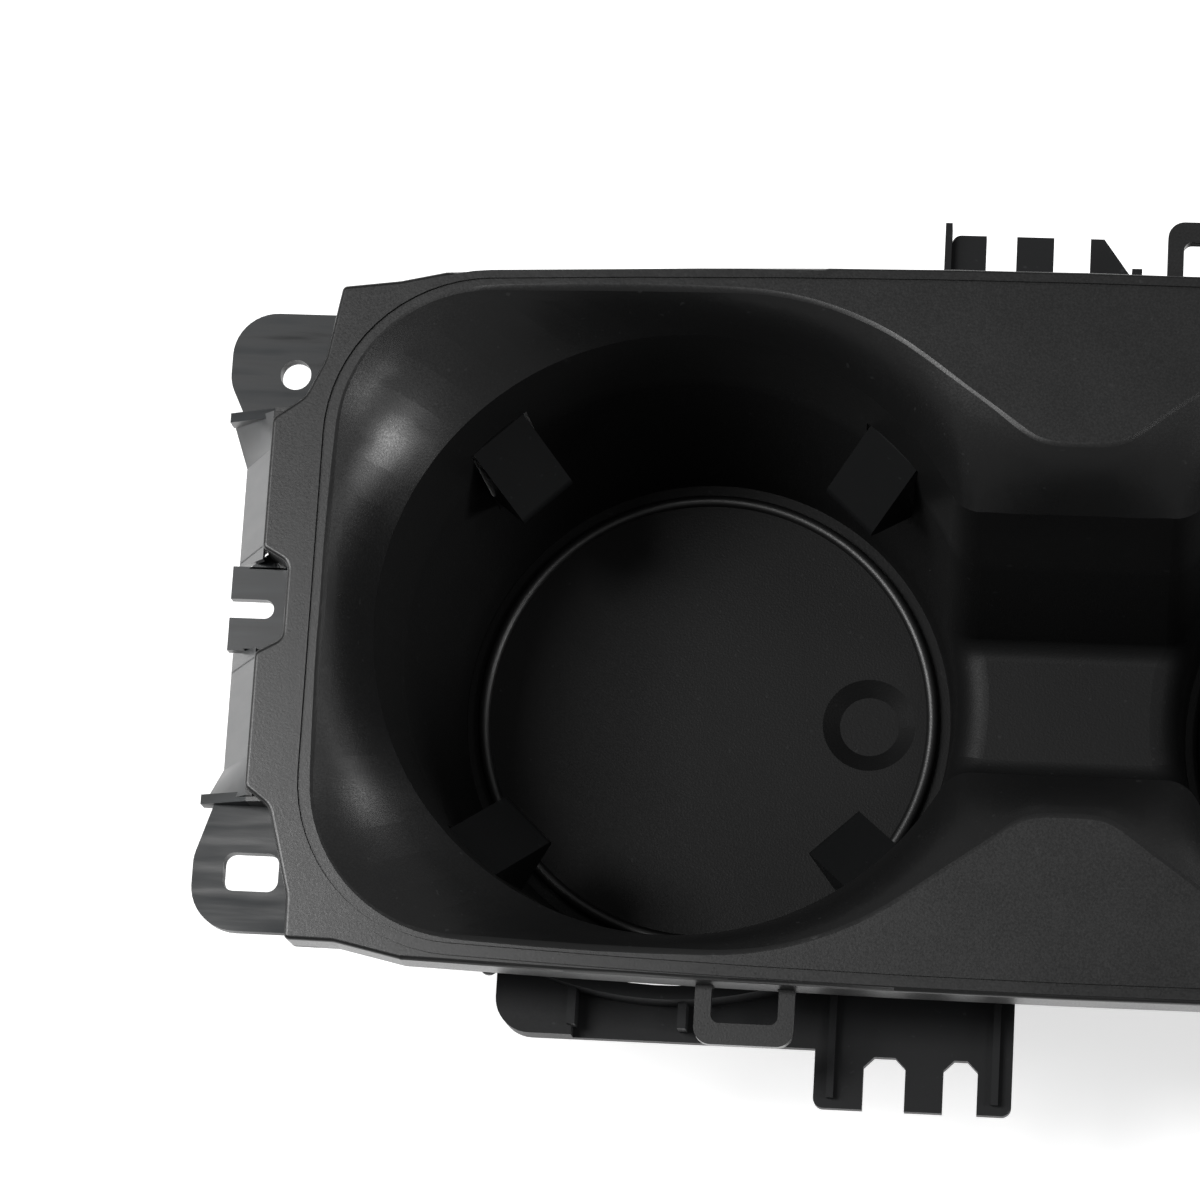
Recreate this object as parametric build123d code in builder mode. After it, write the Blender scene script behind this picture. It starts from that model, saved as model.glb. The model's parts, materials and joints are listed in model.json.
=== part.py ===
"""Twin car cup holder: a console insert with two cups, a bridge between them and sprung grip fingers.

Millimetres. +X runs along the two cups, +Y to the rear, +Z up. The origin is midway between the cups,
on the plane that the undersides of the two cup floors stand on.
"""
from build123d import *

import os
from math import atan2, cos, degrees, hypot, radians, sin, sqrt, tan

# Tray: overall form
cup_depth = 75.0
floor_thickness = 2.6
wall = 2.2
cup_pitch = 113.0
rim_height = cup_depth + floor_thickness
cup_x = cup_pitch / 2

# Tray: flange and skirt. The ends stand a set distance outside the cups' axes, and everything at an end is
# placed inward from it, as (inset, distance from the middle)
end_beyond_cup = 59.3
flare_x = cup_x + end_beyond_cup
flange_half_width = 52.2
rear_bow_end = (23.8, 49.5)
rear_end_points = ((17.3, 48.0), (8.9, 46.9), (7.1, 36.0), (4.6, 30.3), (0.0, 26.9))
rear_end_radii = (4.0, 0.8, 5.0, 4.0, 1.5)
front_bow_end = (23.8, 50.7)
front_end_points = ((14.3, 48.7), (7.2, 48.6), (7.1, 42.4), (3.7, 29.9), (0.0, 27.2))
front_end_radii = (4.0, 0.8, 5.0, 3.0, 1.5)
notch_inset = 3.8
notch_mouth_y = 7.6
notch_y = 5.5
notch_mouth_radius = 1.2
notch_radius = 1.8
flange_thickness = 2.5
skirt_height = 7.4
skirt_thickness = 2.0
flange_edge_radius = 0.6

# Tray: bead line and land around the rim
bead_inset = 7.8
bead_half_length = flare_x - bead_inset
bead_half_width = 50.2
bead_bow = 2.9
bead_corner_radius = 23.6
bead_width = 0.5
bead_depth = 0.4
land_grow = 1.4
land_drop = 0.35

# Tray: opening at the rim
opening_inset = 9.4
opening_half_length = flare_x - opening_inset
opening_side_bow = 0.35
opening_corner_radius = 22.0
opening_corner_center = (opening_half_length - opening_corner_radius - 0.2, 25.2)
opening_side_mid = (cup_x + 10.5, 47.75)
flank_start = (cup_x - 6.5, 47.9)
flank_radius = 47.0
flank_angle = 36.0
waist_half_width = 26.6
waist_radius = 8.0
lip_radius = 1.2

# Tray: throat under the flared band, where the cup walls begin
throat_depth = 11.0
throat_radius = 44.1
throat_side_angle = 28.0
throat_corner_angle = 58.0
throat_flank_angle = 96.0
throat_line_angle = 128.0
channel_half_width = 19.0
throat_fillet = 5.0
flare_mid_depth = 4.0
flare_mid_share = 0.5
flare_foot_depth = 14.0
flare_foot_share = 1.2
flare_steps = 26
straight_limit = 0.01

# Tray: cup wall and floor
cup_foot_radius = 38.2
foot_edge_radius = 1.6
gutter_depth = 1.2
floor_radius = 36.2
floor_edge_radius = 0.9
dimple_offset = 25.5
dimple_radius = 7.3
dimple_floor_radius = 4.65
dimple_depth = 1.5

# Tray: bridge channel between the cups
pad_depth = 59.5
pad_half_width = 10.2
pad_side_radius = 3.0
bridge_radius = 5.0
channel_reach = 20.0

# Grip fingers: places round each cup, section in the radial plane, and their windows
finger_azimuths = (47.0, 133.0, 227.0, 313.0)
finger_width = 9.6
window_clearance = 0.5
window_top_depth = 22.4
window_bottom_depth = 47.6
pivot_radius = 46.9
pivot_depth = 25.6
finger_top_depth = 23.2
finger_face_top = 43.0
finger_nose = (32.6, 35.0)
finger_nose_radius = 1.8
finger_heel = (41.0, 46.3)
lip_end_depth = 50.4
lip_thickness = 1.4
finger_stop_gap = 0.3
finger_skin = 1.5
finger_side_wall = 1.2
barrel_radius = 2.5
back_reach = 2.0
back_drop = 1.5
pin_radius = 1.0
pin_clearance = 0.05
pin_overhang = 0.3
pin_chamfer = 0.2
coil_room_start = 44.4
coil_room_half = 1.9

# Cheeks that carry the finger pins on the outside of each cup wall
cheek_thickness = 1.8
cheek_gap = 0.1
cheek_inner = finger_width / 2 + window_clearance + cheek_gap
cheek_reach = 49.3
cheek_top_depth = 21.0
cheek_shoulder_depth = 29.0
cheek_bottom_depth = 50.0
cheek_root = 0.6

# Finger springs
wire_radius = 0.355
wire_sides = 8
coil_radius = 1.65
coil_turns = 3
coil_pitch = 0.85
short_leg = 6.2
short_leg_angle = 219.5
long_leg = 7.4
long_leg_angle = 82.5

# Ears, ribs, wings and the middle tab, placed from the flange's end
ear_depth = 6.5
ear_thickness = 2.4
ear_root_x = flare_x - 11.8
ear_reach = flare_x + 7.6
ear_shoulder_x = flare_x + 5.0
hole_ear_side = 44.2
hole_ear_shoulder_y = 33.5
slot_ear_side = 46.9
slot_ear_shoulder_y = 36.5
ear_shoulder_radius = 6.0
ear_corner_radius = 6.5
ear_hole = (flare_x - 1.9, 35.0)
ear_hole_radius = 2.25
ear_slot = (flare_x - 0.8, 38.4)
ear_slot_size = (8.0, 5.5)
ear_slot_corner = 1.6
rib_y = 28.2
rib_thickness = 1.4
rib_depth = 9.6
rib_root_x = flare_x - 3.3
wing_top_depth = 1.6
wing_bottom_depth = 14.0
wing_reach = flare_x + 5.6
wing_thickness = 1.7
wing_start_y = 8.0
wing_curl_y = 22.5
wing_curl_reach = flare_x + 7.2
tab_reach = flare_x + 5.2
tab_half_width = 6.2
tab_depth = 7.0
tab_thickness = 2.0
tab_slot_width = 2.8
tab_slot_end = flare_x - 1.2

# Loops that stand out of the skirt: middle x, side (front -1, rear +1) and how far out they reach
front_loop_x = cup_x - 12.7
front_loop_reach = 60.0
rear_loop_x = 18.5
rear_loop_reach = 61.5
loop_places = (
    (-front_loop_x, -1, front_loop_reach),
    (front_loop_x, -1, front_loop_reach),
    (rear_loop_x, 1, rear_loop_reach),
)
loop_width = 14.0
loop_root = 50.0
loop_band = 2.3
loop_end_band = 3.0
loop_window_start = 51.4
loop_corner = 2.4
loop_depth = 5.0
loop_thickness = 2.0

# Carrier: ring collars, the plate that joins them, front shelves and screw lugs
ring_inner_radius = 50.6
ring_thickness = 2.0
ring_top_depth = 16.0
plate_depth = 24.0
plate_thickness = 2.4
bar_half_length = cup_x + 24.1
rear_bar_y = 55.2
front_bar_y = 46.0
shelf_inner_x = cup_x - 23.0
shelf_y = 57.6
bar_corner = 5.0
channel_gap = 21.0
block_depth = 20.5
block_length = 11.1
web_places = (cup_x + 13.0, cup_x - 2.9)
web_thickness = 1.2
web_inset = 1.4
web_depth = 19.0
hook_tip = (cup_x + 25.1, 48.6)
hook_root = (cup_x + 20.4, 47.2)
hook_radius = 0.9
hook_tip_radius = 1.3
hook_depth = 18.0

# Carrier: slotted brackets. A slot is given by its start from the bracket's left edge and its width
bracket_width = 28.2
bracket_root = 2.0
bracket_slot_chamfer = 1.5
bracket_corner = 1.4
rail_thickness = 1.0
rail_height = 1.6
front_bracket_x = -34.6
front_bracket_reach = 66.0
front_bracket_slots = ((7.0, 6.0), (18.4, 4.9))
front_slot_end = 58.4
front_rail_offset = 1.9
front_rail_y = (48.6, 64.6)
rear_bracket_x = -19.9
rear_bracket_reach = 64.6
rear_bracket_slots = ((5.1, 4.5), (15.1, 5.4))
rear_slot_end = 56.6
rear_rail_reach = 66.0
sloping_tooth_top = 2.0
sloping_tooth_foot = 6.0
sloping_tooth_foot_y = 59.0
bump_size = (1.5, 1.2)

# Screws that hold the carrier under the tray
end_screw = (cup_x + 55.3, 18.0)
middle_screw_y = 38.0
lug_places = [(x * end_screw[0], y * end_screw[1]) for x in (1, -1) for y in (1, -1)]
screw_places = lug_places + [(0.0, middle_screw_y), (0.0, -middle_screw_y)]
boss_radius = 3.3
lug_radius = 4.8
lug_arm_width = 7.0
screw_radius = 1.7
screw_clearance = 0.05
screw_length = 11.0
screw_head_radius = 3.4
screw_head_height = 2.2
screw_head_bevel = 0.8
screw_tip = 1.2
recess_size = (3.4, 0.9)
recess_depth = 1.2
boss_hole_spare = 1.0

# How far cutters run past the faces that they open
cut_past = 2.0

# How a cylinder stands on its frame
from_below = (Align.CENTER, Align.CENTER, Align.MIN)

# Pivot of a finger in its own radial plane, as radius and height
pin_center = (pivot_radius, rim_height - pivot_depth)


def level(depth):
    """Height of a level that is given as a depth below the rim."""
    return rim_height - depth


def cup_radius(depth):
    """Radius of the cup wall's inside at a depth below the rim."""
    slope = (throat_radius - cup_foot_radius) / (cup_depth - throat_depth)
    return throat_radius - slope * (depth - throat_depth)


def opening_points(grow):
    """Rear left quarter of the opening at the rim, as arcs of start, middle and end point."""
    cx, cy = opening_corner_center
    corner = opening_corner_radius + grow
    side = (-cx - corner, cy)
    corner_mid = (-cx - corner * cos(radians(45)), cy + corner * sin(radians(45)))
    corner_end = (-cx, cy + corner)
    long_mid = (-opening_side_mid[0], opening_side_mid[1] + grow)
    flank = (-flank_start[0], flank_start[1] + grow)
    arc_y = flank_start[1] - flank_radius
    arc = flank_radius + grow

    def on_arc(angle):
        return (-flank_start[0] + arc * sin(radians(angle)), arc_y + arc * cos(radians(angle)))

    line_start = on_arc(flank_angle)
    waist = waist_half_width + grow
    round_in = waist_radius - grow
    corner_x = line_start[0] + (line_start[1] - waist) / tan(radians(flank_angle))
    tangent = round_in * tan(radians(flank_angle / 2))
    line_end = (corner_x - tangent * cos(radians(flank_angle)), waist + tangent * sin(radians(flank_angle)))
    waist_start = (corner_x + tangent, waist)
    turn = radians(270 - flank_angle / 2)
    waist_mid = (waist_start[0] + round_in * cos(turn), waist + round_in + round_in * sin(turn))
    line_mid = ((line_start[0] + line_end[0]) / 2, (line_start[1] + line_end[1]) / 2)
    return [
        ((-opening_half_length - grow, 0), (side[0] - opening_side_bow * 0.75, cy / 2), side),
        (side, corner_mid, corner_end),
        (corner_end, long_mid, flank),
        (flank, on_arc(flank_angle / 2), line_start),
        (line_start, line_mid, line_end),
        (line_end, waist_mid, waist_start),
        (waist_start, (waist_start[0] / 2, waist), (0, waist)),
    ]


def throat_points(grow):
    """Rear left quarter of the outline under the flared band, matched arc by arc to the opening."""
    radius = throat_radius + grow
    half = channel_half_width + grow
    fillet_radius = throat_fillet - grow
    center_y = half + fillet_radius
    center_x = -cup_x + sqrt((radius + fillet_radius) ** 2 - center_y**2)
    last = 180 - degrees(atan2(center_y, center_x + cup_x))

    def on_cup(angle):
        return (-cup_x - radius * cos(radians(angle)), radius * sin(radians(angle)))

    stops = [0, throat_side_angle, throat_corner_angle, throat_flank_angle, throat_line_angle, last]
    arcs = []
    for start, end in zip(stops, stops[1:]):
        arcs.append((on_cup(start), on_cup((start + end) / 2), on_cup(end)))
    turn = radians((180 - last + 180 + 270) / 2)
    fillet_mid = (center_x + fillet_radius * cos(turn), center_y + fillet_radius * sin(turn))
    arcs.append((on_cup(last), fillet_mid, (center_x, half)))
    arcs.append(((center_x, half), (center_x / 2, half), (0, half)))
    return arcs


def quarter_wire(arcs):
    """A wire along a quarter outline. An arc whose middle lies on its chord is a straight line."""
    edges = []
    for start, mid, end in arcs:
        chord = hypot(end[0] - start[0], end[1] - start[1])
        cross = (end[0] - start[0]) * (mid[1] - start[1]) - (end[1] - start[1]) * (mid[0] - start[0])
        is_straight = abs(cross) / chord < straight_limit
        if is_straight:
            edges.append(Edge.make_line(start, end))
        else:
            edges.append(Edge.make_three_point_arc(start, mid, end))
    return Wire(edges)


def flare_ring(share, grow):
    """Points round the flared band, part of the way from the opening (0) to the throat (1)."""
    top = quarter_wire(opening_points(grow))
    low = quarter_wire(throat_points(grow))
    quarter = []
    for step in range(flare_steps + 1):
        at_top = top @ (step / flare_steps)
        at_low = low @ (step / flare_steps)
        between = at_top * (1 - share) + at_low * share
        quarter.append((between.X, between.Y))
    rear = quarter + [(-x, y) for x, y in reversed(quarter[:-1])]
    return rear + [(x, -y) for x, y in reversed(rear[1:-1])]


def flared_band(grow):
    """The solid of the flared band, from the rim down to just inside the cup walls."""
    upper = ((0, 0), (flare_mid_share, flare_mid_depth))
    levels = upper + ((1, throat_depth), (flare_foot_share, flare_foot_depth))
    sections = []
    for share, depth in levels:
        with BuildSketch(Plane.XY.offset(level(depth))) as section:
            with BuildLine():
                Spline(*flare_ring(share, grow), periodic=True)
            make_face()
        sections.append(section.sketch)
    with BuildPart() as band:
        loft(sections=sections)
    return band.part


def flange_outline():
    """Draw the closed flange outline inside the open BuildLine."""
    notch_x = flare_x - notch_inset
    rear = [(flare_x - inset, y) for inset, y in (rear_bow_end,) + rear_end_points]
    front = [(flare_x - inset, -y) for inset, y in (front_bow_end,) + front_end_points]
    notch = [(flare_x, notch_mouth_y), (notch_x, notch_y), (notch_x, -notch_y), (flare_x, -notch_mouth_y)]
    notch_radii = (notch_mouth_radius, notch_radius, notch_radius, notch_mouth_radius)
    right = rear + notch + front[::-1]
    left = [(-x, y) for x, y in right]
    for points in (right, left):
        FilletPolyline(*points, radius=rear_end_radii + notch_radii + front_end_radii[::-1])
    for (inset, y), side in ((rear_bow_end, 1), (front_bow_end, -1)):
        x = flare_x - inset
        ThreePointArc((-x, side * y), (0, side * flange_half_width), (x, side * y))


def flange_face(height, inset=0.0):
    """The flange outline as a face, drawn in by an inset."""
    with BuildSketch(Plane.XY.offset(height)) as sketch:
        with BuildLine():
            flange_outline()
        make_face()
        if inset:
            offset(amount=-inset, kind=Kind.INTERSECTION)
    return sketch.sketch


def bead_face(height, grow):
    """Bowed, rounded rectangle that the bead line and the land follow."""
    length = bead_half_length + grow
    width = bead_half_width + grow
    end_width = width - bead_bow
    with BuildSketch(Plane.XY.offset(height)) as sketch:
        with BuildLine():
            for side in (1, -1):
                ThreePointArc((-length, side * end_width), (0, side * width), (length, side * end_width))
                Line((side * length, -end_width), (side * length, end_width))
        make_face()
        fillet(sketch.vertices(), bead_corner_radius + grow)
    return sketch.sketch


def cup_hollow_profile():
    """Half section of one cup's hollow up to the rim, with a raised floor and a gutter round it."""
    with BuildSketch(Plane.XZ) as sketch:
        with BuildLine():
            Polyline(
                (0, floor_thickness),
                (floor_radius, floor_thickness),
                (floor_radius, floor_thickness - gutter_depth),
                (cup_foot_radius, floor_thickness - gutter_depth),
                (cup_radius(0), level(0)),
                (0, level(0)),
                close=True,
            )
        make_face()
        at_floor_edge = sketch.vertices().group_by(Axis.X)[1].sort_by(Axis.Y)[-1]
        fillet(at_floor_edge, floor_edge_radius)
    return sketch.sketch


def cup_outer_profile():
    """Half section of one cup's outside, to be revolved."""
    with BuildSketch(Plane.XZ) as sketch:
        with BuildLine():
            Polyline(
                (0, 0),
                (cup_foot_radius + wall, 0),
                (cup_radius(flange_thickness) + wall, level(flange_thickness)),
                (0, level(flange_thickness)),
                close=True,
            )
        make_face()
        fillet(sketch.vertices().sort_by(Axis.Y)[:2].sort_by(Axis.X)[-1], foot_edge_radius)
    return sketch.sketch


def channel_profile(grow, top_depth):
    """Cross-section of the bridge channel across the part, with its bottom corners rounded."""
    slope = (channel_half_width - pad_half_width) / (pad_depth - throat_depth)
    bottom_depth = pad_depth + grow
    bottom_half = pad_half_width + grow - slope * grow
    top_half = channel_half_width + grow + slope * (throat_depth - top_depth)
    with BuildSketch(Plane.YZ) as sketch:
        with BuildLine():
            Polyline(
                (-top_half, level(top_depth)),
                (top_half, level(top_depth)),
                (bottom_half, level(bottom_depth)),
                (-bottom_half, level(bottom_depth)),
                close=True,
            )
        make_face()
        fillet(sketch.vertices().sort_by(Axis.Y)[:2], pad_side_radius)
    return sketch.sketch


def is_bridge_edge(edge):
    """An edge where the channel's sides and its pad break over into a cup."""
    box = edge.bounding_box()
    above_pad = box.min.Z > level(pad_depth) - flange_edge_radius
    below_rim = (box.min.Z + box.max.Z) / 2 < level(throat_depth)
    return above_pad and below_rim and channel_reach / 2 < abs(edge.center().X) < channel_reach


def hollow_of_cups():
    """The hollow of both cups and of the channel between them, with the bridge's edges rounded."""
    with BuildPart() as hollow:
        for side, turn in ((1, 0), (-1, 180)):
            with Locations(Location((side * cup_x, 0, 0), (0, 0, turn))):
                add(revolve(cup_hollow_profile(), axis=Axis.Z, mode=Mode.PRIVATE))
        extrude(channel_profile(0, 0), amount=channel_reach, both=True)
        fillet(hollow.edges().filter_by(is_bridge_edge), bridge_radius)
    return hollow.part


def cup_places():
    """Frames at the two cup axes."""
    return [Location((-cup_x, 0, 0)), Location((cup_x, 0, 0))]


def finger_places():
    """Cup name, number and frame of each grip finger. A frame's X axis points along the finger's azimuth."""
    for name, side in (("left_cup", -1), ("right_cup", 1)):
        for number, azimuth in enumerate(finger_azimuths, start=1):
            yield name, number, Location((side * cup_x, 0, 0), (0, 0, azimuth))


def mirrored_four(part):
    """A part and its copies mirrored to the other end, the other side and both."""
    across = part.mirror(Plane.XZ)
    return [part, across, part.mirror(Plane.YZ), across.mirror(Plane.YZ)]


def skirt_and_flange():
    """The rim's flat flange with the skirt that hangs from its edge, and the raised field inside its land."""
    with BuildPart() as rim:
        extrude(flange_face(level(skirt_height)), amount=skirt_height - land_drop)
        fillet(rim.faces().sort_by(Axis.Z)[-1].edges(), flange_edge_radius)
        inside = flange_face(level(skirt_height) - cut_past, skirt_thickness)
        extrude(inside, amount=skirt_height - flange_thickness + cut_past, mode=Mode.SUBTRACT)
        extrude(bead_face(level(flange_thickness / 2), land_grow), amount=flange_thickness / 2)
    return rim.part


def window_cutter():
    """Block that opens a finger's window through the cup wall."""
    width = finger_width + 2 * window_clearance
    start = cup_radius(window_bottom_depth) - wall
    with BuildPart() as cutter:
        with BuildSketch(Plane.YZ.offset(start)):
            with Locations((0, level((window_top_depth + window_bottom_depth) / 2))):
                Rectangle(width, window_bottom_depth - window_top_depth)
        extrude(amount=pivot_radius - start)
    return cutter.part


def cheek_pair():
    """The two cheeks outside one window, each with its pin hole."""
    foot = cup_radius(cheek_bottom_depth)
    with BuildPart() as cheeks:
        with BuildSketch(Plane.XZ.offset(cheek_inner)):
            with BuildLine():
                Polyline(
                    (cup_radius(cheek_top_depth) + cheek_root, level(cheek_top_depth)),
                    (cheek_reach, level(cheek_top_depth)),
                    (cheek_reach, level(cheek_shoulder_depth)),
                    (foot + wall, level(cheek_bottom_depth)),
                    (foot + cheek_root, level(cheek_bottom_depth)),
                    close=True,
                )
            make_face()
            with Locations(pin_center):
                Circle(pin_radius + pin_clearance, mode=Mode.SUBTRACT)
        extrude(amount=cheek_thickness)
        mirror(about=Plane.XZ)
    return cheeks.part


def ear_blank(side, shoulder_y):
    """Face of one ear at the left end before its hole, a lobe with both its outer corners rounded."""
    sign = 1 if side > 0 else -1
    with BuildSketch() as blank:
        with BuildLine():
            Polyline(
                (-ear_root_x, sign * rib_y),
                (-ear_shoulder_x, sign * rib_y),
                (-ear_reach, sign * shoulder_y),
                (-ear_reach, side),
                (-ear_root_x, side),
                close=True,
            )
        make_face()
        outer = blank.vertices().sort_by(Axis.X)[:2].sort_by(lambda vertex: abs(vertex.Y))
        fillet(outer[0], ear_shoulder_radius)
        corner = blank.vertices().sort_by(lambda vertex: hypot(vertex.X + ear_reach, vertex.Y - side))[0]
        fillet(corner, ear_corner_radius)
    return blank.sketch


def ear_plates():
    """The hole ear and the slot ear at the left end."""
    with BuildPart() as ears:
        with BuildSketch(Plane.XY.offset(level(ear_depth + ear_thickness))):
            add(ear_blank(hole_ear_side, hole_ear_shoulder_y))
            add(ear_blank(-slot_ear_side, slot_ear_shoulder_y))
            with Locations((-ear_hole[0], ear_hole[1])):
                Circle(ear_hole_radius, mode=Mode.SUBTRACT)
            with Locations((-ear_slot[0], -ear_slot[1])):
                RectangleRounded(*ear_slot_size, ear_slot_corner, mode=Mode.SUBTRACT)
        extrude(amount=ear_thickness)
    return ears.part


def end_rib():
    """Upright rib beside the ear, at the rear of the left end."""
    with BuildPart() as rib:
        with BuildSketch(Plane.XZ.offset(-rib_y)):
            with BuildLine():
                Polyline(
                    (-rib_root_x, level(wing_top_depth)),
                    (-flare_x, level(flange_thickness)),
                    (-wing_curl_reach, level(ear_depth)),
                    (-wing_curl_reach, level(rib_depth)),
                    (-rib_root_x, level(rib_depth)),
                    close=True,
                )
            make_face()
        extrude(amount=rib_thickness / 2, both=True)
    return rib.part


def wing_section(distance, reach, bottom_depth):
    """Section of a wing, a sloping plate that hangs from the flange's end, at a distance from the middle."""
    with BuildSketch(Plane.XZ.offset(-distance)) as section:
        with BuildLine():
            Polyline(
                (-flare_x + skirt_thickness / 2, level(wing_top_depth)),
                (-flare_x, level(wing_top_depth)),
                (-reach, level(bottom_depth)),
                (-reach + wing_thickness, level(bottom_depth)),
                (-flare_x + skirt_thickness / 2, level(wing_top_depth + wing_thickness)),
                close=True,
            )
        make_face()
    return section.sketch


def end_wing():
    """Wing at the rear of the left end: straight for most of its width, then curling out to the rib."""
    flat_end = wing_section(wing_curl_y, wing_reach, wing_bottom_depth)
    with BuildPart() as wing:
        extrude(flat_end, amount=wing_curl_y - wing_start_y)
        loft(sections=[flat_end, wing_section(rib_y, wing_curl_reach, rib_depth)])
    return wing.part


def end_tab():
    """Middle tab at the left end, with its slot open to the outside and the wall that carries it."""
    depth = tab_depth + tab_thickness
    notch_x = flare_x - notch_inset
    with BuildPart() as tab:
        with BuildSketch(Plane.XY.offset(level(depth))):
            with Locations(((-tab_reach - notch_x) / 2, 0)):
                Rectangle(tab_reach - notch_x, 2 * tab_half_width)
            with Locations((-tab_slot_end - tab_slot_width / 2, 0)):
                Circle(tab_slot_width / 2, mode=Mode.SUBTRACT)
            slot_length = tab_reach + cut_past - tab_slot_end - tab_slot_width / 2
            with Locations((-tab_reach - cut_past + slot_length / 2, 0)):
                Rectangle(slot_length, tab_slot_width, mode=Mode.SUBTRACT)
        extrude(amount=tab_thickness)
        with BuildSketch(Plane.XY.offset(level(depth))):
            with Locations((-notch_x + skirt_thickness / 2, 0)):
                Rectangle(skirt_thickness, 2 * tab_half_width)
        extrude(amount=depth - flange_thickness)
    return tab.part


def tray_loop(x, side, reach):
    """A flat loop that stands out of the skirt."""
    width = loop_width - 2 * loop_band
    window_end = reach - loop_end_band
    with BuildPart() as loop:
        with BuildSketch(Plane.XY.offset(level(loop_depth + loop_thickness))) as outline:
            with Locations((x, side * (loop_root + reach) / 2)):
                Rectangle(loop_width, reach - loop_root)
            fillet(outline.vertices().sort_by(lambda vertex: side * vertex.Y)[-2:], loop_corner)
            with Locations((x, side * (loop_window_start + window_end) / 2)):
                RectangleRounded(width, window_end - loop_window_start, loop_corner / 2, mode=Mode.SUBTRACT)
        extrude(amount=loop_thickness)
    return loop.part


def dimple_cutter():
    """Shallow dished dimple in a cup floor, at the origin of the floor plane."""
    with BuildPart() as dimple:
        with BuildSketch(Plane.XZ):
            with BuildLine():
                Polyline(
                    (0, floor_thickness - dimple_depth),
                    (dimple_floor_radius, floor_thickness - dimple_depth),
                    (dimple_radius, floor_thickness),
                    (dimple_radius, floor_thickness + cut_past),
                    (0, floor_thickness + cut_past),
                    close=True,
                )
            make_face()
        revolve(axis=Axis.Z)
    return dimple.part


def bead_cutter():
    """The fine bead line that is sunk into the rim."""
    with BuildPart() as cutter:
        extrude(bead_face(level(bead_depth), bead_width / 2), amount=bead_depth + cut_past)
        inside = bead_face(level(bead_depth), -bead_width / 2)
        extrude(inside, amount=bead_depth + cut_past, mode=Mode.SUBTRACT)
    return cutter.part


def is_opening_edge(edge):
    """An edge of the opening at the rim, where the flared band's surfaces begin."""
    box = edge.bounding_box()
    return edge.geom_type == GeomType.BSPLINE and box.min.Z > level(0) - 0.01


def screw_frames(depth):
    """Frames of the six screws at a depth, with +Z up."""
    return [Location((x, y, level(depth))) for x, y in screw_places]


def finger_frames():
    """Frames of the eight grip fingers."""
    return [place for _, _, place in finger_places()]


def lug_arm_frame(x, y):
    """Frame on a cup's ring collar, turned towards a lug at the end of the part."""
    side = 1 if x > 0 else -1
    angle = atan2(y, x - side * cup_x)
    start = ring_inner_radius + ring_thickness / 2
    return Location((side * cup_x + start * cos(angle), start * sin(angle), 0), (0, 0, degrees(angle)))


def carrier_hook():
    """Small hook with a round tip that points outward from the left ring collar, at the front."""
    length = hypot(hook_tip[0] - hook_root[0], hook_tip[1] - hook_root[1])
    angle = degrees(atan2(hook_root[1] - hook_tip[1], hook_root[0] - hook_tip[0]))
    with BuildPart() as hook:
        with BuildSketch(Plane.XY.offset(level(hook_depth + hook_radius))):
            with Locations(Location((-hook_root[0], -hook_root[1], 0), (0, 0, angle))):
                Rectangle(length, 2 * hook_radius, align=(Align.MIN, Align.CENTER))
            with Locations((-hook_tip[0], -hook_tip[1])):
                Circle(hook_tip_radius)
        extrude(amount=2 * hook_radius)
    return hook.part


def bracket_comb(left, root, reach, slots, slot_end):
    """Face of a comb-like bracket at the carrier's rear, with open slots whose ends are chamfered."""
    with BuildSketch() as comb:
        with Locations((left, root)):
            Rectangle(bracket_width, reach - root, align=(Align.MIN, Align.MIN))
        fillet(comb.vertices().sort_by(Axis.Y)[-2:], bracket_corner)
        for start, width in slots:
            with BuildLine():
                Polyline(
                    (left + start, reach + cut_past),
                    (left + start, slot_end + bracket_slot_chamfer),
                    (left + start + bracket_slot_chamfer, slot_end),
                    (left + start + width - bracket_slot_chamfer, slot_end),
                    (left + start + width, slot_end + bracket_slot_chamfer),
                    (left + start + width, reach + cut_past),
                    close=True,
                )
            make_face(mode=Mode.SUBTRACT)
    return comb.sketch


def front_bracket():
    """The front bracket, drawn at the rear: two slots, and a low rail along each side."""
    root = front_bar_y - bracket_root
    slots = front_bracket_slots
    start, end = front_rail_y
    with BuildPart() as bracket:
        with BuildSketch(Plane.XY.offset(level(plate_depth + plate_thickness))):
            add(bracket_comb(front_bracket_x, root, front_bracket_reach, slots, front_slot_end))
        extrude(amount=plate_thickness)
        with BuildSketch(Plane.XY.offset(level(plate_depth))):
            far_rail = bracket_width - front_rail_offset - rail_thickness
            for rail in (front_rail_offset, far_rail):
                with Locations((front_bracket_x + rail, start)):
                    Rectangle(rail_thickness, end - start, align=(Align.MIN, Align.MIN))
        extrude(amount=rail_height)
    return bracket.part


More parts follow.
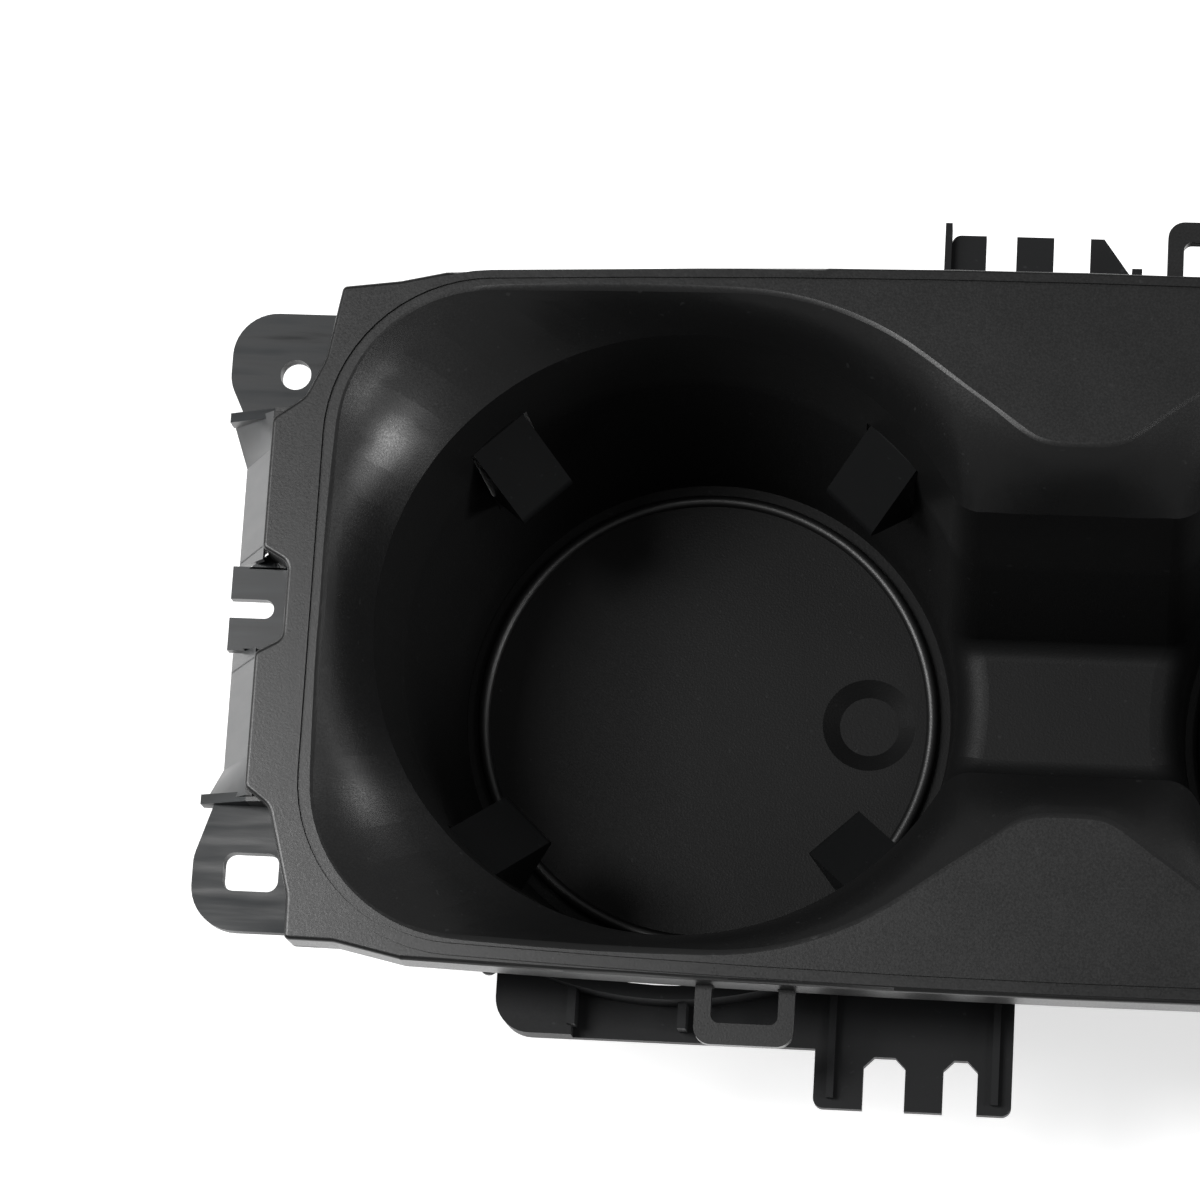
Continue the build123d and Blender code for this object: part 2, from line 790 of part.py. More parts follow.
def rear_bracket():
    """The rear bracket: two slots, a tall rail at its left side, and a last tooth that slopes off."""
    root = rear_bar_y - bracket_root
    last_slot_start, last_slot_width = rear_bracket_slots[-1]
    last_tooth = rear_bracket_x + last_slot_start + last_slot_width
    right = rear_bracket_x + bracket_width
    slots = rear_bracket_slots
    with BuildPart() as bracket:
        with BuildSketch(Plane.XY.offset(level(plate_depth + plate_thickness))):
            add(bracket_comb(rear_bracket_x, root, rear_bracket_reach, slots, rear_slot_end))
            with BuildLine():
                Polyline(
                    (last_tooth + sloping_tooth_top, rear_bracket_reach + cut_past),
                    (last_tooth + sloping_tooth_top, rear_bracket_reach),
                    (last_tooth + sloping_tooth_foot, sloping_tooth_foot_y),
                    (right + cut_past, sloping_tooth_foot_y),
                    (right + cut_past, rear_bracket_reach + cut_past),
                    close=True,
                )
            make_face(mode=Mode.SUBTRACT)
            with Locations((right, sloping_tooth_foot_y)):
                Rectangle(*bump_size, align=(Align.MAX, Align.MIN))
        extrude(amount=plate_thickness)
        with BuildSketch(Plane.XY.offset(level(plate_depth + plate_thickness))):
            with Locations((rear_bracket_x, root)):
                Rectangle(rail_thickness, rear_rail_reach - root, align=(Align.MAX, Align.MIN))
        extrude(amount=plate_thickness + rail_height)
    return bracket.part


def front_shelf(length, inner_x):
    """Face of a shelf at the carrier's front left, from inner_x outward, with its outer corner rounded."""
    with BuildSketch() as shelf:
        with Locations((-inner_x, -shelf_y)):
            Rectangle(length, shelf_y, align=(Align.MAX, Align.MIN))
        fillet(shelf.vertices().sort_by(Axis.Y)[:2].sort_by(Axis.X)[0], bar_corner)
    return shelf.sketch


# The cup tray is one moulding: rim, both cups, the bridge between them and everything on its outside
cup_hollows = hollow_of_cups()
with BuildPart() as cup_tray:
    add(skirt_and_flange())
    add(flared_band(wall))
    with Locations(*cup_places()):
        add(revolve(cup_outer_profile(), axis=Axis.Z, mode=Mode.PRIVATE))
    extrude(channel_profile(wall, flange_thickness), amount=channel_reach, both=True)
    for plates in (ear_plates(), end_tab()):
        add([plates, plates.mirror(Plane.YZ)])
    for piece in (end_rib(), end_wing()):
        add(mirrored_four(piece))
    for x, side, reach in loop_places:
        add(tray_loop(x, side, reach))
    with Locations(*screw_frames(plate_depth)):
        Cylinder(boss_radius, plate_depth - flange_thickness / 2, align=from_below)
    with Locations(*finger_frames()):
        add(cheek_pair())
    add(flared_band(0), mode=Mode.SUBTRACT)
    add(cup_hollows, mode=Mode.SUBTRACT)
    with Locations(*finger_frames()):
        add(window_cutter(), mode=Mode.SUBTRACT)
    with Locations((-cup_x + dimple_offset, 0), (cup_x - dimple_offset, 0)):
        add(dimple_cutter(), mode=Mode.SUBTRACT)
    pilot_depth = screw_length - plate_thickness + boss_hole_spare
    with Locations(*screw_frames(plate_depth)):
        Cylinder(screw_radius + screw_clearance, pilot_depth, align=from_below, mode=Mode.SUBTRACT)
    fillet(cup_tray.edges().filter_by(is_opening_edge), lip_radius)
    add(bead_cutter(), mode=Mode.SUBTRACT)

# One grip finger at azimuth 0: a hollow wedge, open at the back, that swings on its pin
lip_radius_top = cup_radius(window_bottom_depth) + wall + finger_stop_gap
lip_radius_end = cup_radius(lip_end_depth) + wall + finger_stop_gap
finger_sole_depth = window_bottom_depth - window_clearance
finger_back = (pin_center[0] + back_reach, pin_center[1] - back_drop)
pocket_back = pin_center[0] + 2 * barrel_radius
with BuildPart() as grip_finger:
    with BuildSketch(Plane.XZ) as finger_side:
        with BuildLine():
            Polyline(
                (finger_face_top, level(finger_top_depth)),
                (finger_nose[0], level(finger_nose[1])),
                (finger_heel[0], level(finger_heel[1])),
                (lip_radius_top, level(finger_sole_depth)),
                (lip_radius_end, level(lip_end_depth)),
                (lip_radius_end + lip_thickness, level(lip_end_depth)),
                (lip_radius_top + lip_thickness, level(finger_sole_depth - finger_skin)),
                finger_back,
                (pin_center[0], level(finger_top_depth)),
                close=True,
            )
        make_face()
        fillet(finger_side.vertices().sort_by(Axis.X)[0], finger_nose_radius)
        with Locations(pin_center):
            Circle(barrel_radius)
    extrude(amount=finger_width / 2, both=True)
    with BuildSketch(Plane.XZ):
        with BuildLine():
            Polyline(
                (finger_face_top, level(finger_top_depth)),
                (finger_nose[0], level(finger_nose[1])),
                (finger_heel[0], level(finger_heel[1])),
                (lip_radius_top, level(finger_sole_depth)),
                (pocket_back, level(finger_sole_depth)),
                (pocket_back, level(finger_top_depth)),
                close=True,
            )
        make_face()
        offset(amount=-finger_skin, kind=Kind.INTERSECTION, mode=Mode.REPLACE)
    extrude(amount=finger_width / 2 - finger_side_wall, both=True, mode=Mode.SUBTRACT)
    with BuildSketch(Plane.XZ):
        with Locations(pin_center):
            Circle(barrel_radius)
    extrude(amount=finger_width / 2, both=True)
    with Locations((coil_room_start, 0, pin_center[1] + barrel_radius + cut_past)):
        Box(
            pocket_back - coil_room_start,
            2 * coil_room_half,
            2 * barrel_radius + 2 * cut_past,
            align=(Align.MIN, Align.CENTER, Align.MAX),
            mode=Mode.SUBTRACT,
        )
    with Locations(Location((pin_center[0], 0, pin_center[1]), (90, 0, 0))):
        Cylinder(pin_radius + pin_clearance, 2 * finger_width, mode=Mode.SUBTRACT)

# Its pin, held in the two cheeks
with BuildPart() as finger_pin:
    with BuildSketch(Plane.XZ):
        with Locations(pin_center):
            Circle(pin_radius)
    extrude(amount=cheek_inner + cheek_thickness + pin_overhang, both=True)
    chamfer(finger_pin.edges().filter_by(GeomType.CIRCLE), pin_chamfer)

# Its torsion spring: one leg against the wall above the window, the coil, one leg behind the finger's face.
# Angles are in the radial plane, and the wire leaves the coil tangentially at both ends.
wall_leg_start = long_leg_angle + 90
face_leg_start = short_leg_angle - 90
coil_turned = coil_turns * 360 + face_leg_start - wall_leg_start
coil_length = coil_pitch * coil_turned / 360
coil_middle = Location((pin_center[0], coil_length / 2, pin_center[1]), (90, 0, 0))
coil_frame = coil_middle * Rotation(0, 0, wall_leg_start)
coil = coil_frame * Helix(coil_pitch, coil_length, coil_radius)
with BuildPart() as finger_spring:
    with BuildLine() as spring_wire:
        Line(coil @ 0 - (coil % 0) * long_leg, coil @ 0)
        add(coil)
        Line(coil @ 1, coil @ 1 + (coil % 1) * short_leg)
    with BuildSketch(Plane(origin=spring_wire.wire() @ 0, z_dir=spring_wire.wire() % 0)):
        RegularPolygon(wire_radius, wire_sides)
    sweep(path=spring_wire.wire(), is_frenet=True)

# The carrier under the tray: two ring collars joined by a plate, with front shelves, lugs, hooks and brackets
carrier_underside = level(plate_depth + plate_thickness)
ring_middle_radius = ring_inner_radius + ring_thickness / 2
shelf = front_shelf(bar_half_length - shelf_inner_x, shelf_inner_x)
block = front_shelf(block_length, bar_half_length - block_length)
with BuildPart() as carrier:
    with BuildSketch(Plane.XY.offset(carrier_underside)):
        Rectangle(2 * bar_half_length, rear_bar_y, align=(Align.CENTER, Align.MIN))
        Rectangle(2 * shelf_inner_x, front_bar_y, align=(Align.CENTER, Align.MAX))
        add([shelf, shelf.mirror(Plane.YZ)])
        with Locations(*screw_places):
            Circle(lug_radius)
        for x, y in lug_places:
            reach = hypot(abs(x) - cup_x, y)
            with Locations(lug_arm_frame(x, y)):
                Rectangle(reach - ring_middle_radius, lug_arm_width, align=(Align.MIN, Align.CENTER))
        with Locations(*cup_places()):
            Circle(ring_inner_radius, mode=Mode.SUBTRACT)
        Rectangle(2 * channel_reach, 2 * channel_gap, mode=Mode.SUBTRACT)
    extrude(amount=plate_thickness)
    with BuildSketch(Plane.XY.offset(carrier_underside)):
        with Locations(*cup_places()):
            Circle(ring_inner_radius + ring_thickness)
            Circle(ring_inner_radius, mode=Mode.SUBTRACT)
        Rectangle(2 * channel_reach, 2 * channel_gap, mode=Mode.SUBTRACT)
    extrude(amount=plate_depth + plate_thickness - ring_top_depth)
    with BuildSketch(Plane.XY.offset(level(plate_depth))):
        add([block, block.mirror(Plane.YZ)])
        with Locations(*cup_places()):
            Circle(ring_middle_radius, mode=Mode.SUBTRACT)
    extrude(amount=plate_depth - block_depth)
    with BuildSketch(Plane.XY.offset(level(plate_depth))):
        with Locations(*[(side * x, web_inset - shelf_y) for x in web_places for side in (-1, 1)]):
            Rectangle(web_thickness, shelf_y - web_inset, align=(Align.CENTER, Align.MIN))
        with Locations(*cup_places()):
            Circle(ring_middle_radius, mode=Mode.SUBTRACT)
    extrude(amount=plate_depth - web_depth)
    add([carrier_hook(), carrier_hook().mirror(Plane.YZ)])
    add([front_bracket().mirror(Plane.XZ), rear_bracket()])
    with Locations(*screw_frames(plate_depth + plate_thickness)):
        Cylinder(screw_radius + screw_clearance, plate_thickness, align=from_below, mode=Mode.SUBTRACT)

# The screws that hold it, all alike, with their heads under the plate
with BuildPart() as one_screw:
    with BuildSketch(Plane.XZ):
        with BuildLine():
            Polyline(
                (0, -screw_head_height),
                (screw_head_radius - screw_head_bevel, -screw_head_height),
                (screw_head_radius, screw_head_bevel - screw_head_height),
                (screw_head_radius, 0),
                (screw_radius, 0),
                (screw_radius, screw_length - screw_tip),
                (screw_radius - screw_tip / 2, screw_length),
                (0, screw_length),
                close=True,
            )
        make_face()
    revolve(axis=Axis.Z)
    with BuildSketch(Plane.XY.offset(-screw_head_height)):
        Rectangle(*recess_size)
        Rectangle(*reversed(recess_size))
    extrude(amount=recess_depth, mode=Mode.SUBTRACT)
with BuildPart() as carrier_screws:
    with Locations(*screw_frames(plate_depth + plate_thickness)):
        add(one_screw.part)

os.makedirs("parts", exist_ok=True)
cup_tray.part.label = "cup_tray"
export_step(cup_tray.part, "parts/cup_tray.step")
carrier.part.label = "carrier"
export_step(carrier.part, "parts/carrier.step")
carrier_screws.part.label = "carrier_screws"
export_step(carrier_screws.part, "parts/carrier_screws.step")
for cup, number, place in finger_places():
    for piece, word in ((grip_finger, "finger"), (finger_pin, "pin"), (finger_spring, "spring")):
        placed = piece.part.moved(place)
        placed.label = f"{cup}_{word}_{number}"
        export_step(placed, f"parts/{placed.label}.step")
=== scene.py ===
import json
from math import cos, pi, radians, sin

import bpy
from mathutils import Euler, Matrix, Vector


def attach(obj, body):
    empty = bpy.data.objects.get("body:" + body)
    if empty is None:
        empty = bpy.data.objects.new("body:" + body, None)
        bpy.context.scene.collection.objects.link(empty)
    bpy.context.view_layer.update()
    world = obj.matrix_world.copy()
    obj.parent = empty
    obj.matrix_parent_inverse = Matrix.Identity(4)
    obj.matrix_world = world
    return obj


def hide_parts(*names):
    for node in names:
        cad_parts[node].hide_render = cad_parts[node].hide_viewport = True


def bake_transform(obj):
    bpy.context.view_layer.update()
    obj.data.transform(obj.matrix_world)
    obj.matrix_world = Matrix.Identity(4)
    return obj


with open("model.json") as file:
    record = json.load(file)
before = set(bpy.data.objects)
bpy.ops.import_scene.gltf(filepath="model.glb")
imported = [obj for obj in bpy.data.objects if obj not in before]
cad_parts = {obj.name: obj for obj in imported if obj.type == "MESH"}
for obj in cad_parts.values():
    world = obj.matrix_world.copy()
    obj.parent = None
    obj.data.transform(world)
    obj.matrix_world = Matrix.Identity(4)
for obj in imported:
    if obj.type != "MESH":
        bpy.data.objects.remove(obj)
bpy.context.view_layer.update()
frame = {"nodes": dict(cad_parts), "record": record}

MM = 0.001
WHITE = (1, 1, 1, 1)
SIDES = (("left", -1), ("right", 1))
REAR, FRONT = 1, -1

# Camera, as fitted to the photograph
CAMERA_PLACE = (-0.003774, -0.136229, 0.686628)
CAMERA_TURN = (0.227, 0.090, 0.058)
CAMERA_LENS = 133.07
SENSOR_WIDTH = 36.0
CLIP_START = 0.01

# Light: a weak even sky, and softboxes given by place, by width and height, and by power in watts
SKY_STRENGTH = 0.19
SOFTBOXES = {
    "key": ((-0.90, -0.02, 0.86), (0.40, 0.80), 7.5),
    "top_left": ((-0.54, 0.07, 1.16), (0.22, 0.42), 6.0),
    "top_right": ((0.52, -0.02, 0.86), (0.20, 0.20), 1.0),
    "front_fill": ((0.84, -0.12, 0.36), (0.18, 0.26), 3.2),
    "rear_fill": ((0.68, 0.50, 0.36), (0.18, 0.22), 1.0),
}
LIGHT_TARGET = (0.0, 0.0, 0.04)

# Stage
FLOOR_SIZE = 6.0
FLOOR_COLOUR = (0.90, 0.90, 0.90, 1)
FLOOR_ROUGHNESS = 0.9
FLOOR_GLOW = 0.50

# Finishes of the mouldings: shine is the strength of their reflections, grain the size of their bumps
TRAY_COLOUR = (0.0085, 0.0086, 0.0087)
TRAY_FINISH = dict(
    colour=TRAY_COLOUR, roughness=0.33, shine=0.50, grain=0.32 * MM, depth=0.010 * MM
)
BEAD_FINISH = dict(
    colour=TRAY_COLOUR, roughness=0.40, shine=0.65, grain=0.32 * MM, depth=0.022 * MM
)
CARRIER_FINISH = dict(
    colour=(0.0095, 0.0099, 0.0105), roughness=0.52, shine=0.18, grain=0.60 * MM, depth=0.008 * MM
)
FINGER_FINISH = dict(
    colour=(0.0055, 0.0058, 0.0060), roughness=0.55, shine=0.16, grain=0.50 * MM, depth=0.010 * MM
)

# Marks that every moulding has: clouds in tone and gloss, pale specks, and fine changes of gloss
NOISE_MIDDLE = (0.3, 0.7)
CLOUD_SIZE = 11 * MM
CLOUD_TONES = (0.94, 1.06)
CLOUD_GLOSS = 0.015
SPECK_SIZE = 0.9 * MM
SPECK_RANGE = (0.80, 0.86)
SPECK_COVER = 0.5
SPECK_TONE = 3.2
FINE_SIZE = 0.30 * MM
FINE_GLOSS = 0.045

# Coarser, duller grain low down in the cups and on the bridge, which fades out over a band above this height
COARSE_TOP_Z = 0.046
COARSE_BAND_Z = 0.004
COARSE_DULLING = 0.16
COARSE_SHINE = 0.34
COARSE_GRAIN = 3.0

# Smoother, bluish ends of the tray: everything past the flange, and below the skirt from the ears' roots on
FLANGE_END_X = 0.1157
EAR_ROOT_X = 0.1045
EAR_TOP_Z = 0.0712
END_TINT = (0.0150, 0.0175, 0.0195)
END_GRAIN = 0.25

# Streaks along those ends, where the smoother ones are also darker; the ears, past the ribs, are duller
STREAK_SIZE = 2.2 * MM
STREAK_STRETCH = (9, 1, 4)
STREAK_RANGE = (0.35, 0.65)
STREAK_TONE = 0.35
STREAK_GLOSS = 0.05
EAR_START_Y = 0.0288
EAR_DULLING = 0.34

# Plated steel
STEEL_COLOUR = (0.52, 0.52, 0.53, 1)
STEEL_ROUGHNESS = (0.28, 0.46)
STEEL_MARK_SIZE = 0.5 * MM
STEEL_MARK_DEPTH = 0.01 * MM

# The cups' centres off the middle, and the grip fingers' azimuths in degrees
CUP_X = 0.0565
FINGER_AZIMUTHS = (47.0, 133.0, 227.0, 313.0)

# Beads round the cups' floors
BEAD_RADIUS = 0.0354
BEAD_SIZE = 0.0010
BEAD_Z = 0.0023
BEAD_STEPS = 180
BEAD_SIDES = 16

# Webs under the notch's slanted sides, in line with the wings and the middle tab
FLARE_X = 0.1158
WING_REACH_X = 0.1214
WING_START_Y = 0.0080
WING_TOP_Z = 0.0760
WING_BOTTOM_Z = 0.0636
NOTCH_X = 0.1125
TAB_SIDE_Y = 0.0062
TAB_TOP_Z = 0.0706
WEB_THICKNESS = 0.0016
WEB_OVERLAP = 0.0003

# Where a web's top and bottom corners end, from the middle, and how far its root runs out past the flare
WEB_ENDS = {REAR: (0.0062, 0.0076), FRONT: (0.0068, 0.0052)}
ROOT_REACH = 0.0029


def link(obj):
    bpy.context.scene.collection.objects.link(obj)
    return obj


def shade(colour, factor=1.0):
    """A colour made lighter or darker, with its alpha."""
    return (*[part * factor for part in colour], 1)


class Nodes:
    """A material's node tree, with short calls for the nodes that the materials here use."""

    def __init__(self, name):
        self.material = bpy.data.materials.new(name)
        self.material.use_nodes = True
        self.tree = self.material.node_tree
        self.shader = self.tree.nodes["Principled BSDF"]
        self.place = self.tree.nodes.new("ShaderNodeTexCoord").outputs["Object"]

    def feed(self, socket, value):
        """Links an output to a socket, or sets a constant on it."""
        if isinstance(value, bpy.types.NodeSocket):
            self.tree.links.new(value, socket)
        else:
            socket.default_value = value

    def noise(self, size, detail, stretch=(1, 1, 1)):
        """Noise whose blobs are about size metres across, drawn out along an axis by a stretch above 1."""
        mapping = self.tree.nodes.new("ShaderNodeMapping")
        mapping.inputs["Scale"].default_value = [1 / factor for factor in stretch]
        self.feed(mapping.inputs["Vector"], self.place)
        node = self.tree.nodes.new("ShaderNodeTexNoise")
        node.inputs["Scale"].default_value = 1 / size
        node.inputs["Detail"].default_value = detail
        self.feed(node.inputs["Vector"], mapping.outputs["Vector"])
        return node.outputs["Fac"]

    def ramp(self, value, low, high, out_low, out_high):
        """Maps a value from one range to another, clamped."""
        node = self.tree.nodes.new("ShaderNodeMapRange")
        ends = {"From Min": low, "From Max": high, "To Min": out_low, "To Max": out_high}
        for name, number in ends.items():
            self.feed(node.inputs[name], number)
        self.feed(node.inputs["Value"], value)
        return node.outputs["Result"]

    def fade(self, zone, outside, inside):
        """Goes from one value, where a zone is 0, to another, where it is 1."""
        return self.ramp(zone, 0.0, 1.0, outside, inside)

    def math(self, operation, first, second=0.0):
        node = self.tree.nodes.new("ShaderNodeMath")
        node.operation = operation
        for socket, value in zip(node.inputs, (first, second)):
            self.feed(socket, value)
        return node.outputs["Value"]

    def mix(self, factor, first, second):
        """Blends two colours."""
        node = self.tree.nodes.new("ShaderNodeMix")
        node.data_type = "RGBA"
        self.feed(node.inputs["Factor"], factor)
        self.feed(node.inputs["A"], first)
        self.feed(node.inputs["B"], second)
        return node.outputs["Result"]

    def bump(self, height, depth):
        node = self.tree.nodes.new("ShaderNodeBump")
        self.feed(node.inputs["Height"], height)
        self.feed(node.inputs["Distance"], depth)
        self.feed(self.shader.inputs["Normal"], node.outputs["Normal"])

    def axis(self, letter):
        """The place along one axis of the tray."""
        split = self.tree.nodes.new("ShaderNodeSeparateXYZ")
        self.feed(split.inputs["Vector"], self.place)
        return split.outputs[letter]

    def coarse_zone(self):
        """1 low down in the cups and on the bridge, 0 on the flare and the flange."""
        return self.ramp(self.axis("Z"), COARSE_TOP_Z, COARSE_TOP_Z + COARSE_BAND_Z, 1.0, 0.0)

    def ear_zone(self):
        """1 out past the ribs, where the ears are, 0 nearer the middle."""
        return self.math("GREATER_THAN", self.math("ABSOLUTE", self.axis("Y")), EAR_START_Y)

    def end_zone(self):
        """1 on the ears, wings and tabs at both ends of the tray, 0 elsewhere."""
        across = self.math("ABSOLUTE", self.axis("X"))
        past_root = self.math("GREATER_THAN", across, EAR_ROOT_X)
        below_skirt = self.math("LESS_THAN", self.axis("Z"), EAR_TOP_Z)
        ear = self.math("MULTIPLY", past_root, below_skirt)
        return self.math("MAXIMUM", ear, self.math("GREATER_THAN", across, FLANGE_END_X))


def mould_marks(nodes, colour, roughness):
    """Tone and roughness with faint clouds, a few pale specks and fine changes of gloss."""
    clouds = nodes.noise(CLOUD_SIZE, detail=3.0)
    specks = nodes.ramp(nodes.noise(SPECK_SIZE, detail=0.0), *SPECK_RANGE, 0.0, SPECK_COVER)
    dark, light = (shade(colour, factor) for factor in CLOUD_TONES)
    tone = nodes.mix(specks, nodes.mix(clouds, dark, light), shade(colour, SPECK_TONE))
    cloudy = nodes.ramp(clouds, *NOISE_MIDDLE, roughness - CLOUD_GLOSS, roughness + CLOUD_GLOSS)
    fine = nodes.ramp(nodes.noise(FINE_SIZE, detail=1.0), *NOISE_MIDDLE, -FINE_GLOSS, FINE_GLOSS)
    return tone, nodes.math("ADD", cloudy, fine)


def finish_plastic(nodes, tone, rough, shine, grain, depth):
    """Feeds the shader, and adds the mould's grain as fine bumps."""
    nodes.feed(nodes.shader.inputs["Base Color"], tone)
    nodes.feed(nodes.shader.inputs["Roughness"], rough)
    nodes.feed(nodes.shader.inputs["Specular IOR Level"], shine)
    nodes.bump(nodes.noise(grain, detail=2.0), depth)
    return nodes.material


def moulded_plastic(name, colour, roughness, shine, grain, depth):
    """Dark plastic from a grained mould."""
    nodes = Nodes(name)
    tone, rough = mould_marks(nodes, colour, roughness)
    return finish_plastic(nodes, tone, rough, shine, grain, depth)


def tray_plastic(name, colour, roughness, shine, grain, depth):
    """The tray's plastic, coarser and duller low down, and smooth, bluish and streaked at both ends."""
    nodes = Nodes(name)
    tone, rough = mould_marks(nodes, colour, roughness)
    coarse = nodes.coarse_zone()
    rough = nodes.math("ADD", rough, nodes.math("MULTIPLY", coarse, COARSE_DULLING))
    shine = nodes.fade(coarse, shine, shine * COARSE_SHINE)

    ends = nodes.end_zone()
    streaks = nodes.noise(STREAK_SIZE, detail=3.0, stretch=STREAK_STRETCH)
    pale = nodes.ramp(streaks, *STREAK_RANGE, 0.0, 1.0)
    tone = nodes.mix(ends, tone, nodes.mix(pale, shade(END_TINT, STREAK_TONE), shade(END_TINT)))
    dullest = nodes.fade(nodes.ear_zone(), roughness, roughness + EAR_DULLING)
    rough = nodes.fade(ends, rough, nodes.ramp(streaks, *NOISE_MIDDLE, roughness - STREAK_GLOSS, dullest))

    deeper = nodes.fade(coarse, 1.0, COARSE_GRAIN)
    depth = nodes.math("MULTIPLY", nodes.fade(ends, depth, depth * END_GRAIN), deeper)
    return finish_plastic(nodes, tone, rough, shine, grain, depth)


def plated_steel(name):
    """Zinc-plated steel with fine marks in its gloss."""
    nodes = Nodes(name)
    marks = nodes.noise(STEEL_MARK_SIZE, detail=4.0)
    nodes.shader.inputs["Base Color"].default_value = STEEL_COLOUR
    nodes.shader.inputs["Metallic"].default_value = 1.0
    nodes.feed(nodes.shader.inputs["Roughness"], nodes.ramp(marks, *NOISE_MIDDLE, *STEEL_ROUGHNESS))
    nodes.bump(marks, STEEL_MARK_DEPTH)
    return nodes.material


def make_materials():
    return {
        "tray": tray_plastic("grained_black_plastic", **TRAY_FINISH),
        "bead": moulded_plastic("rounded_bead_plastic", **BEAD_FINISH),
        "carrier": moulded_plastic("plain_black_plastic", **CARRIER_FINISH),
        "finger": moulded_plastic("finger_plastic", **FINGER_FINISH),
        "steel": plated_steel("zinc_plated_steel"),
    }


def give_material(obj, material):
    obj.data.materials.clear()
    obj.data.materials.append(material)


def dress_nodes(materials):
    slots = {part["node"]: part["material_slot"] for part in frame["record"]["subparts"]}
    for node, obj in frame["nodes"].items():
        give_material(obj, materials[slots[node]])


def build_springs(steel):
    """Plated steel copies of the finger springs, which take the place of their nodes."""
    for side, sign in SIDES:
        for number, azimuth in enumerate(FINGER_AZIMUTHS, start=1):
            node = f"{side}_cup_spring_{number}"
            mesh = frame["nodes"][node].data.copy()
            piece = link(bpy.data.objects.new(f"{side}_cup_coil_{number}", mesh))
            give_material(piece, steel)
            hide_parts(node)
            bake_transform(piece)


def add_to_tray(name, corners, faces, plastic):
    """A mesh that stays with the tray and is moulded with it."""
    mesh = bpy.data.meshes.new(name)
    mesh.from_pydata(corners, [], faces)
    piece = link(bpy.data.objects.new(name, mesh))
    give_material(piece, plastic)
    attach(piece, "holder")
    return piece


def prism(outline, thickness):
    """Corners and faces of a flat outline, listed from above, thickened downwards."""
    count = len(outline)
    corners = [*outline, *[(x, y, z - thickness) for x, y, z in outline]]
    faces = [tuple(range(count)), tuple(range(2 * count - 1, count - 1, -1))]
    faces += [((i + 1) % count, i, count + i, count + (i + 1) % count) for i in range(count)]
    return corners, faces


def web_outlines(sign, turn):
    """The sloping web in line with one wing, and its level root beside the tab."""
    top_y, bottom_y = WEB_ENDS[turn]
    flare, reach, notch = sign * FLARE_X, sign * WING_REACH_X, sign * NOTCH_X
    wing_y = turn * (WING_START_Y + WEB_OVERLAP)
    tab_y = turn * (TAB_SIDE_Y - WEB_OVERLAP)
    web = [
        (flare, wing_y, WING_TOP_Z),
        (reach, wing_y, WING_BOTTOM_Z),
        (reach, turn * bottom_y, WING_BOTTOM_Z),
        (flare, turn * top_y, WING_TOP_Z),
    ]
    root = [
        (sign * (FLARE_X + ROOT_REACH), tab_y, TAB_TOP_Z),
        (notch, tab_y, TAB_TOP_Z),
        (notch, wing_y, TAB_TOP_Z),
        (flare, wing_y, TAB_TOP_Z),
    ]
    return web, root


def build_gussets(plastic):
    """Webs between the middle tab and the wings at both ends, under the notch's slanted sides."""
    for side, sign in SIDES:
        corners, faces = [], []
        for turn in (REAR, FRONT):
            for outline in web_outlines(sign, turn):
                if sign * turn < 0:
                    outline = outline[::-1]  # a mirrored outline runs the other way round
                points, sides = prism(outline, WEB_THICKNESS)
                faces += [tuple(len(corners) + i for i in face) for face in sides]
                corners += points
        add_to_tray(f"{side}_end_gussets", corners, faces, plastic)


def build_beads(plastic):
    """Low rounded bead round each cup's floor, just inside the gutter."""
    for side, sign in SIDES:
        corners, faces = [], []
        for i in range(BEAD_STEPS):
            around = 2 * pi * i / BEAD_STEPS
            near, far = i * BEAD_SIDES, (i + 1) % BEAD_STEPS * BEAD_SIDES
            for j in range(BEAD_SIDES):
                turn = 2 * pi * j / BEAD_SIDES
                reach = BEAD_RADIUS + BEAD_SIZE * cos(turn)
                height = BEAD_Z + BEAD_SIZE * sin(turn)
                corners.append((sign * CUP_X + reach * cos(around), reach * sin(around), height))
                step = (j + 1) % BEAD_SIDES
                faces.append((near + j, far + j, far + step, near + step))
        piece = add_to_tray(f"{side}_cup_floor_bead", corners, faces, plastic)
        piece.data.shade_smooth()


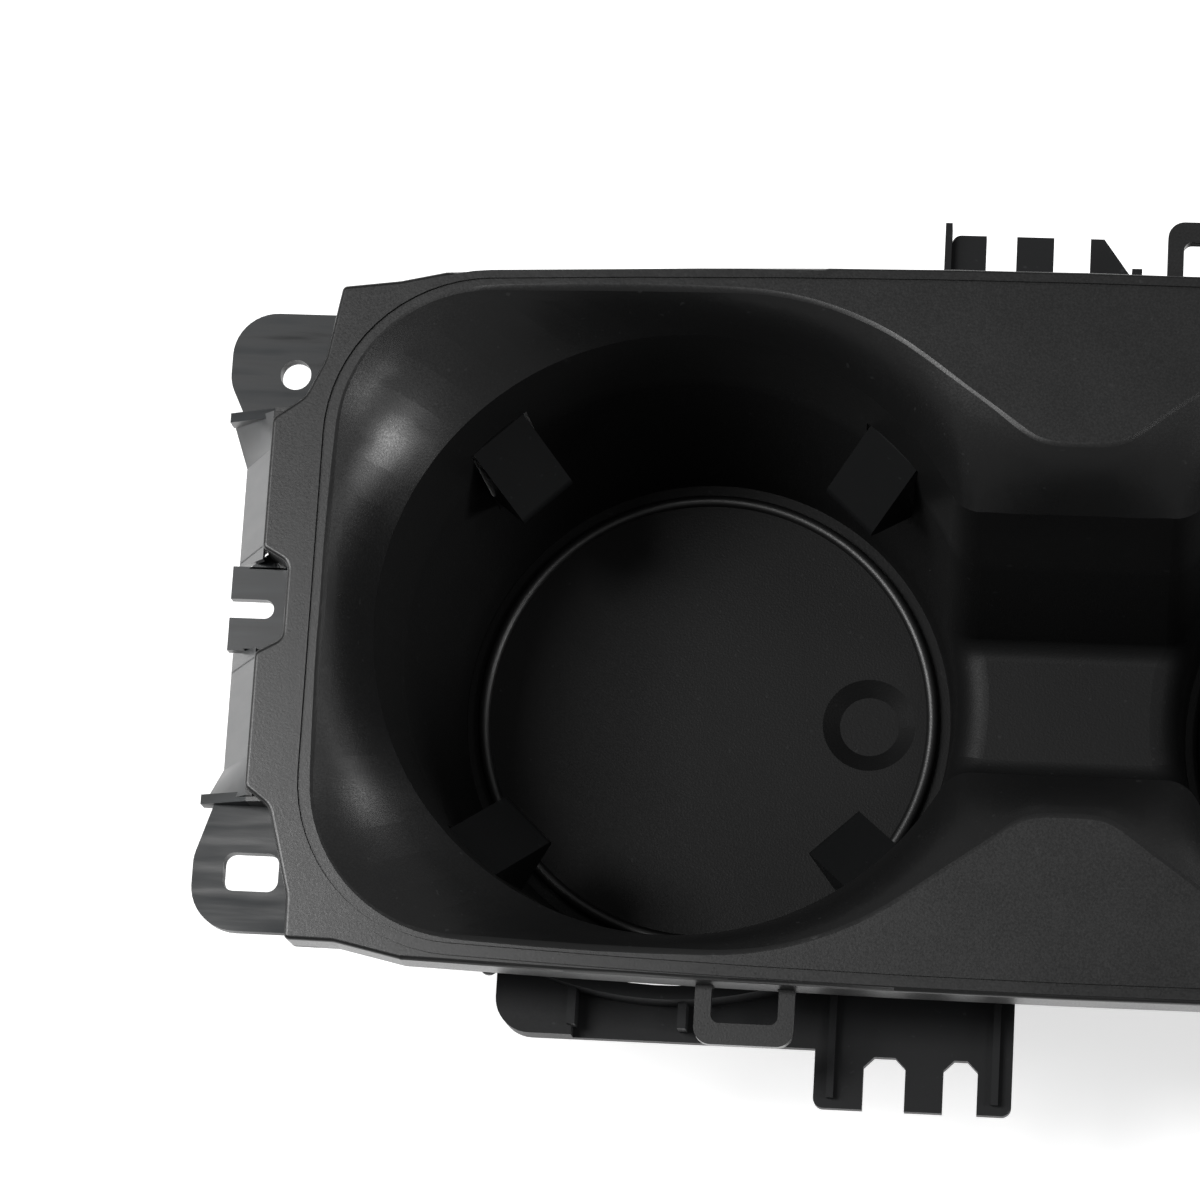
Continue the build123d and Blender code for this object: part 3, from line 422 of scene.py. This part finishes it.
def build_floor():
    """White floor that looks white to the camera and in reflections, and keeps the object's soft shadow."""
    half = FLOOR_SIZE / 2
    corners = [(-half, -half, 0), (half, -half, 0), (half, half, 0), (-half, half, 0)]
    mesh = bpy.data.meshes.new("floor")
    mesh.from_pydata(corners, [], [(0, 1, 2, 3)])
    floor = link(bpy.data.objects.new("floor", mesh))
    nodes = Nodes("white_floor")
    nodes.shader.inputs["Base Color"].default_value = FLOOR_COLOUR
    nodes.shader.inputs["Roughness"].default_value = FLOOR_ROUGHNESS
    nodes.shader.inputs["Specular IOR Level"].default_value = 0.0
    nodes.shader.inputs["Emission Color"].default_value = WHITE
    path = nodes.tree.nodes.new("ShaderNodeLightPath").outputs
    seen = nodes.math("MAXIMUM", path["Is Camera Ray"], path["Is Glossy Ray"])
    seen = nodes.math("MAXIMUM", seen, path["Is Transmission Ray"])
    nodes.feed(nodes.shader.inputs["Emission Strength"], nodes.math("MULTIPLY", seen, FLOOR_GLOW))
    floor.data.materials.append(nodes.material)


def build_light():
    world = bpy.data.worlds.new("studio")
    world.use_nodes = True
    background = world.node_tree.nodes["Background"]
    background.inputs["Color"].default_value = WHITE
    background.inputs["Strength"].default_value = SKY_STRENGTH
    bpy.context.scene.world = world
    for name, (place, size, power) in SOFTBOXES.items():
        data = bpy.data.lights.new(name, "AREA")
        data.shape = "RECTANGLE"
        data.size, data.size_y = size
        data.energy = power
        light = link(bpy.data.objects.new(name, data))
        light.location = place
        aim = Vector(LIGHT_TARGET) - Vector(place)
        light.rotation_euler = aim.to_track_quat("-Z", "Y").to_euler()


def build_camera():
    data = bpy.data.cameras.new("camera")
    data.lens = CAMERA_LENS
    data.sensor_width = SENSOR_WIDTH
    data.clip_start = CLIP_START
    camera = link(bpy.data.objects.new("camera", data))
    camera.location = CAMERA_PLACE
    camera.rotation_euler = Euler(CAMERA_TURN, "XYZ")
    bpy.context.scene.camera = camera
    bpy.context.scene.view_settings.view_transform = "Standard"


build_camera()
build_light()
build_floor()
materials = make_materials()
dress_nodes(materials)
build_springs(materials["steel"])
build_gussets(materials["tray"])
build_beads(materials["bead"])
